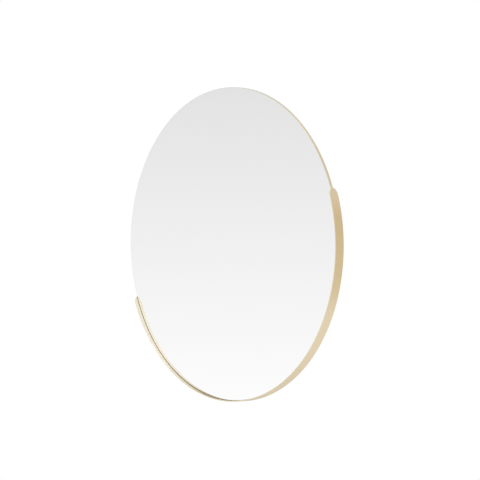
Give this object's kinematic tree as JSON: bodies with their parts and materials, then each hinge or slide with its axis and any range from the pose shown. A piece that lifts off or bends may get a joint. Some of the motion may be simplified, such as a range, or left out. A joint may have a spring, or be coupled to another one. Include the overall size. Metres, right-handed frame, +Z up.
{
  "type": "pivot wall mirror",
  "caption": "Round wall mirror with a thin brass rim that tilts between the ends of a flat brass half hoop, which turns on a wall stand-off.",
  "frame": {"origin": "centre of the wall plate's back face, on the wall", "axes": "+X right and +Z up as seen from the room, +Y into the wall; the glass faces -Y"},
  "size_m": [0.6022, 0.0841, 0.6021],
  "materials": {
    "mirror_silver": "silvered float glass, polished",
    "satin_brass": "satin brushed along the strip, lacquered",
    "black_steel": "fine-texture black powder coat",
    "plated_steel": "bright zinc plate",
    "cast_zinc": "bead-blasted cast zinc",
    "white_foam": "closed-cell foam",
    "white_nylon": "moulded nylon",
    "brown_fibre": "pressed fibre",
    "black_rubber": "moulded rubber"
  },
  "bodies": {
    "wall_mount": {"friction_disc": "brown_fibre", "thrust_washer": "white_nylon", "standoff_sleeve": "satin_brass", "grub_screws": "plated_steel", "wall_plate": "plated_steel", "wall_rosette": "satin_brass", "rosette_grip_ring": "black_rubber"},
    "yoke": {"half_hoop": "satin_brass", "end_bracket_left": "cast_zinc", "end_bracket_right": "cast_zinc", "pivot_pin_left": "plated_steel", "pivot_pin_right": "plated_steel", "pivot_spring_washers": "plated_steel", "pivot_nuts": "plated_steel", "cross_bar": "black_steel", "bracket_screws": "plated_steel", "hub_bolt": "plated_steel", "hub_spring_washer": "plated_steel", "hub_nut": "plated_steel", "stop_pin": "plated_steel"},
    "mirror": {"mirror_glass": "mirror_silver", "rim_ring": "satin_brass", "back_plate": "black_steel", "rim_rivets": "plated_steel", "glass_tape_ring": "white_foam", "foam_pads": "white_foam", "wall_bumpers": "black_rubber", "pivot_block_left": "cast_zinc", "pivot_block_right": "cast_zinc", "pivot_bushes": "white_nylon", "block_nuts": "plated_steel", "friction_washers": "brown_fibre"}
  },
  "joints": [
    {"name": "yoke_turn", "type": "hinge", "parent": "wall_mount", "child": "yoke", "pos_m": [0, -0.05543, 0], "axis": [0, -1, 0], "range_deg": [-111, 69]},
    {"name": "mirror_tilt", "type": "hinge", "parent": "yoke", "child": "mirror", "pos_m": [0.00502, -0.06543, -0.01307], "axis": [0.9336, 0, 0.3584], "range_deg": [-12, 12]}
  ]
}
